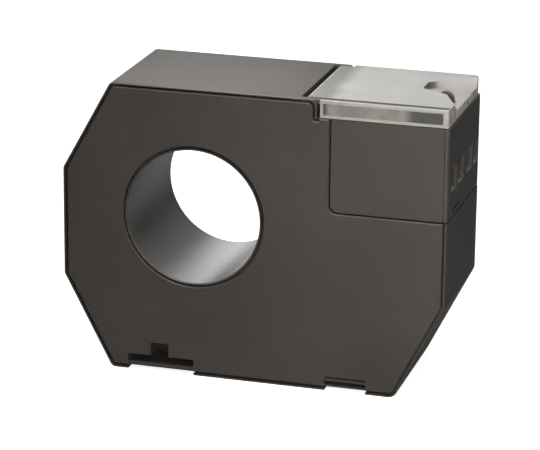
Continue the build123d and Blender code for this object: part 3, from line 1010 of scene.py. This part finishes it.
@dataclass
class SecondaryWinding:
    """The winding in single turns of wire, round the core's case, with a gap for the leads.

    Args:
        inner: How far from the axis the turns run inside the ring.
        outer: How far from the axis they run outside it.
        half_depth: How far they stand from the middle of the ring, to the front and back.
        bend: The radius that the wire is bent to at the ring's corners.
        wire: The radius of the wire.
        sides: How many sides the wire's section is drawn with.
        bend_steps: How many steps a bend is drawn in.
        turns: How many turns there are.
        first: The angle of the first turn from +X, in degrees.
        last: The angle of the last turn.
        crease: The angle from which an edge stays sharp, in degrees.
    """

    inner: float = 20.8
    outer: float = 30.0
    half_depth: float = 13.5
    bend: float = 1.2
    wire: float = 0.54
    sides: int = 8
    bend_steps: int = 3
    turns: int = 110
    first: float = 40.2
    last: float = 381.8
    crease: float = 60.0

    def lead_on(self, shape: Mesh, tip: list[Any], way: Triple, centre: Triple) -> list[Any]:
        """Lead the wire on along one side of the ring's section, and round the next corner.

        Args:
            shape: The mesh of the turn.
            tip: The wire's open end.
            way: How far it runs straight on.
            centre: What it is then bent round.

        Returns:
            Its new open end.
        """
        rim = [item for item in tip if isinstance(item, bmesh.types.BMEdge)]
        drawn = bmesh.ops.extrude_edge_only(shape, edges=rim)["geom"]
        points = [item for item in drawn if isinstance(item, bmesh.types.BMVert)]
        bmesh.ops.translate(shape, verts=points, vec=way)
        ends = set(points)
        rim = [edge for edge in shape.edges if set(edge.verts) <= ends]
        bent = bmesh.ops.spin(shape, geom=points + rim, cent=centre, axis=(0.0, 0.0, -1.0),
                              dvec=ORIGIN, angle=QUARTER_TURN, steps=self.bend_steps,
                              use_merge=False, use_duplicate=False)
        return bent["geom_last"]

    def turn(self, shape: Mesh) -> None:
        """Lead the wire once round the ring's section.

        Args:
            shape: The empty mesh to draw the turn in.
        """
        side = self.half_depth - self.bend
        low, high = self.inner + self.bend, self.outer - self.bend
        start = Matrix.Translation((self.inner, -side, 0.0))
        bmesh.ops.create_circle(shape, segments=self.sides, radius=self.wire,
                                matrix=start @ Matrix.Rotation(QUARTER_TURN, 4, "X"))
        tip = shape.verts[:] + shape.edges[:]
        for way, centre in (((0.0, 2 * side, 0.0), (low, side, 0.0)),
                            ((high - low, 0.0, 0.0), (high, side, 0.0)),
                            ((0.0, -2 * side, 0.0), (high, -side, 0.0)),
                            ((low - high, 0.0, 0.0), (low, -side, 0.0))):
            tip = self.lead_on(shape, tip, way, centre)
        bmesh.ops.remove_doubles(shape, verts=shape.verts, dist=NEAR)

    def build(self, wardrobe: Wardrobe) -> None:
        """Make the winding as one piece, dress it and hang it on the case.

        Args:
            wardrobe: The finishes.
        """
        shape = bmesh.new()
        self.turn(shape)
        bmesh.ops.rotate(shape, verts=shape.verts, cent=ORIGIN,
                         matrix=Matrix.Rotation(-math.radians(self.first), 3, "Y"))
        bmesh.ops.spin(shape, geom=whole(shape), cent=ORIGIN, axis=(0.0, -1.0, 0.0), dvec=ORIGIN,
                       angle=math.radians(self.last - self.first), steps=self.turns - 1,
                       use_merge=False, use_duplicate=True)
        bmesh.ops.recalc_face_normals(shape, faces=shape.faces)
        bmesh.ops.scale(shape, verts=shape.verts, vec=(MM, MM, MM))
        piece = finish_piece("winding_turns", shape, self.crease)
        wardrobe.dress(piece, Slot.WINDING)
        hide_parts("secondary_winding")
        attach(piece, "case")


@dataclass(frozen=True)
class Softbox:
    """A studio lamp with a soft face, square unless it has a length.

    Args:
        name: The lamp's name.
        place: Where it hangs, in metres.
        size: The side of the softbox, in metres.
        power: Its power in watts.
        spread: How wide its light opens, in degrees.
        aim: The point that it faces.
        length: Its length, for a strip.
    """

    name: str
    place: Triple
    size: float
    power: float
    spread: float = 180.0
    aim: Triple = ORIGIN
    length: float = 0.0


@dataclass
class Studio:
    """The camera of the photograph, a pale floor and soft studio light.

    Args:
        azimuth: How far the camera stands to the right of straight in front, in degrees.
        elevation: How far above it stands, in degrees.
        roll: How far it is tilted, in degrees.
        distance: How far from its target it stands, in metres.
        target: The point that it looks at, in metres.
        focal_pixels: Its focal length, in pixels of the photograph.
        sensor: The width of its sensor, in millimetres.
        clip: The nearest and farthest that it sees, in metres.
        floor_level: The height of the floor, which the object stands on.
        floor_size: The side of the floor, in metres.
        floor_glow: How bright the floor is near the object, to be looked at.
        floor_reach: How far out it starts and ends to turn fully white.
        floor_mirror: How bright it is in reflections, in front and behind.
        floor_mirror_reach: Where along Y it starts and ends to brighten in reflections.
        floor_mirror_side: Where along X that ends, so that the right side stays dark.
        floor_paper: The floor's colour to the eye, where its shadow falls.
        floor_bounce: The colour of the light that it throws back.
        ambient: How much soft light comes from all round.
        world_mirror: How bright the surroundings are in reflections, low down and high up.
        world_mirror_height: The heights between which that changes, as a share of straight up.
        lamps: The softboxes and strips.
    """

    azimuth: float = 15.91
    elevation: float = 17.781
    roll: float = 0.626
    distance: float = 713.6 * MM
    target: Triple = (15.125 * MM, 0.0, -5.976 * MM)
    focal_pixels: float = 2776.3
    sensor: float = 36.0
    clip: Pair = (0.01, 50.0)
    floor_level: float = -42.5 * MM
    floor_size: float = 12.0
    floor_glow: float = 0.84
    floor_reach: Pair = (0.1, 0.32)
    floor_mirror: Pair = (0.05, 0.5)
    floor_mirror_reach: Pair = (0.0, 0.12)
    floor_mirror_side: Pair = (0.05, 0.085)
    floor_paper: str = "dcdcdb"
    floor_bounce: str = "b9b8b6"
    ambient: float = 0.08
    world_mirror: Pair = (0.1, 0.82)
    world_mirror_height: Pair = (0.04, 0.36)
    lamps: tuple[Softbox, ...] = (
        Softbox("front softbox", (0.1, -0.6, 0.02), 0.3, 0.42),
        Softbox("near front strip", (0.12, -0.26, 0.06), 0.12, 0.085, 70.0, (0.07, 0.0, 0.0)),
        Softbox("side softbox", (0.8, -0.1, 0.2), 0.4, 0.22),
        Softbox("top softbox", (0.04, -0.08, 0.4), 0.2, 0.95),
        Softbox("top strip", (0.0, -0.015, 0.063), 0.015, 0.012, 150.0, (0.0, -0.014, 0.0335),
                0.05),
        Softbox("window strip", (-0.035, 0.13, 0.02), 0.045, 0.013, 120.0, (0.0, 0.0, -0.015)),
        Softbox("back softbox", (-0.65, 0.65, 0.1), 0.4, 2.6),
        Softbox("back side softbox", (0.9, 0.55, 0.2), 0.4, 0.5),
        Softbox("left softbox", (-0.65, 0.02, 0.72), 0.4, 1.8),
    )

    def camera_axes(self) -> tuple[Vector, Vector, Vector]:
        """Work out how the camera is turned.

        Returns:
            Its right, up and backward directions.
        """
        a, e, rho = (math.radians(v) for v in (self.azimuth, self.elevation, self.roll))
        away = Vector((math.sin(a) * math.cos(e), -math.cos(a) * math.cos(e), math.sin(e)))
        level = Vector((math.cos(a), math.sin(a), 0.0))
        above = away.cross(level)
        right = level * math.cos(rho) + above * math.sin(rho)
        up = above * math.cos(rho) - level * math.sin(rho)
        return right, up, away

    def place_camera(self) -> None:
        """Set up the camera that sees the object as the photograph does."""
        data = bpy.data.cameras.new("photo_camera")
        data.sensor_width = self.sensor
        data.sensor_fit = "HORIZONTAL"
        data.lens = self.focal_pixels / PHOTO_WIDTH * self.sensor
        data.clip_start, data.clip_end = self.clip
        camera = put("photo_camera", data)
        right, up, away = self.camera_axes()
        turned = Matrix((right, up, away)).transposed().to_4x4()
        place = Vector(self.target) + away * self.distance
        camera.matrix_world = Matrix.Translation(place) @ turned
        bpy.context.scene.camera = camera

    def by_ray(self, eye: Node, mirrored: Node, other: Node) -> Socket:
        """Show one shader to the eye, one to reflections and one to all other light.

        Args:
            eye: What the camera sees, also through clear plastic.
            mirrored: What glossy surfaces reflect.
            other: What soft light comes from.

        Returns:
            The shader that tells them apart.
        """
        tree = eye.id_data
        rays = add_node(tree, "LightPath").outputs
        seen = compute("MAXIMUM", rays["Is Camera Ray"], rays["Is Transmission Ray"])
        unseen = add_node(tree, "MixShader", {},
                          {0: rays["Is Glossy Ray"], 1: other.outputs[0],
                           2: mirrored.outputs[0]})
        both = add_node(tree, "MixShader", {},
                        {0: seen, 1: unseen.outputs[0], 2: eye.outputs[0]})
        return both.outputs[0]

    def floor_finish(self) -> Material:
        """Make the floor's material.

        The eye gets white paper with the object's soft shadow on it, a little darker close to
        the object.

        Returns:
            The material.
        """
        material, tree, place = Finish("pale studio floor").start()
        axes = add_node(tree, "SeparateXYZ", {}, {0: place}).outputs
        away = add_node(tree, "VectorMath", {}, {0: place}, operation="LENGTH")
        glow = remap(away.outputs["Value"], self.floor_reach, (self.floor_glow, 1.0))
        low, high = self.floor_mirror
        behind = remap(axes["Y"], self.floor_mirror_reach, FULL_SPAN)
        beside = remap(axes["X"], self.floor_mirror_side, (high - low, 0.0))
        mirror = compute("MULTIPLY_ADD", behind, beside, low)
        paper = add_node(tree, "BsdfDiffuse", {"Color": linear(self.floor_paper)})
        white = add_node(tree, "Emission", {"Color": WHITE}, {"Strength": glow})
        looked_at = add_node(tree, "AddShader", {}, {0: paper.outputs[0], 1: white.outputs[0]})
        bounce = add_node(tree, "BsdfDiffuse", {"Color": linear(self.floor_bounce)})
        mirrored = add_node(tree, "Emission", {"Color": WHITE}, {"Strength": mirror})
        surface = self.by_ray(looked_at, mirrored, bounce)
        add_node(tree, "OutputMaterial", links={"Surface": surface})
        return material

    def lay_floor(self) -> None:
        """Lay a pale floor that looks white to the camera and keeps a soft shadow."""
        plane = bmesh.new()
        bmesh.ops.create_grid(plane, x_segments=1, y_segments=1, size=self.floor_size / 2)
        bmesh.ops.translate(plane, verts=plane.verts, vec=(0.0, 0.0, self.floor_level))
        mesh = bpy.data.meshes.new("floor")
        plane.to_mesh(mesh)
        plane.free()
        mesh.materials.append(self.floor_finish())
        floor = put("floor", mesh)

    def fill_world(self) -> None:
        """Make the surroundings white to look at, soft as light, and darker low in reflections."""
        world = bpy.data.worlds.new("studio")
        world.use_nodes = True
        tree = world.node_tree
        tree.nodes.clear()
        where = add_node(tree, "TexCoord").outputs["Generated"]
        height = add_node(tree, "SeparateXYZ", {}, {0: where}).outputs["Z"]
        strength = remap(height, self.world_mirror_height, self.world_mirror)
        soft = add_node(tree, "Background", {"Color": WHITE, "Strength": self.ambient})
        glow = add_node(tree, "Background", {"Color": WHITE}, {"Strength": strength})
        white = add_node(tree, "Background", {"Color": WHITE, "Strength": 1.0})
        add_node(tree, "OutputWorld",
                 links={"Surface": self.by_ray(white, glow, soft)})
        bpy.context.scene.world = world

    def hang_lamp(self, lamp: Softbox) -> None:
        """Hang one softbox or strip, which only its light shows.

        Args:
            lamp: The softbox.
        """
        data = bpy.data.lights.new(lamp.name, "AREA")
        data.shape = "RECTANGLE"
        data.size = lamp.length or lamp.size
        data.size_y = lamp.size
        data.energy = lamp.power
        data.spread = math.radians(lamp.spread)
        body = put(lamp.name, data)
        toward = Vector(lamp.aim) - Vector(lamp.place)
        body.rotation_euler = toward.to_track_quat("-Z", "Y").to_euler()
        body.location = lamp.place
        body.visible_camera = False
        body.visible_transmission = False

    def build(self) -> None:
        """Set up camera, floor, surroundings and lamps."""
        bpy.context.scene.view_settings.view_transform = "Standard"
        self.place_camera()
        self.lay_floor()
        self.fill_world()
        for lamp in self.lamps:
            self.hang_lamp(lamp)
        LOG.info("studio is set up")


def main() -> None:
    """Load the frame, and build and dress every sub-assembly."""
    logging.basicConfig(level=logging.INFO, format="%(name)s: %(message)s")
    for leftover in list(bpy.data.objects):
        bpy.data.objects.remove(leftover)
    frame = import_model()
    Studio().build()
    wardrobe = Wardrobe()
    wardrobe.dress_frame(frame)
    TerminalLid().build(frame, wardrobe)
    TerminalScrews().build(wardrobe)
    SecondaryWinding().build(wardrobe)


if __name__ == "__main__":
    main()
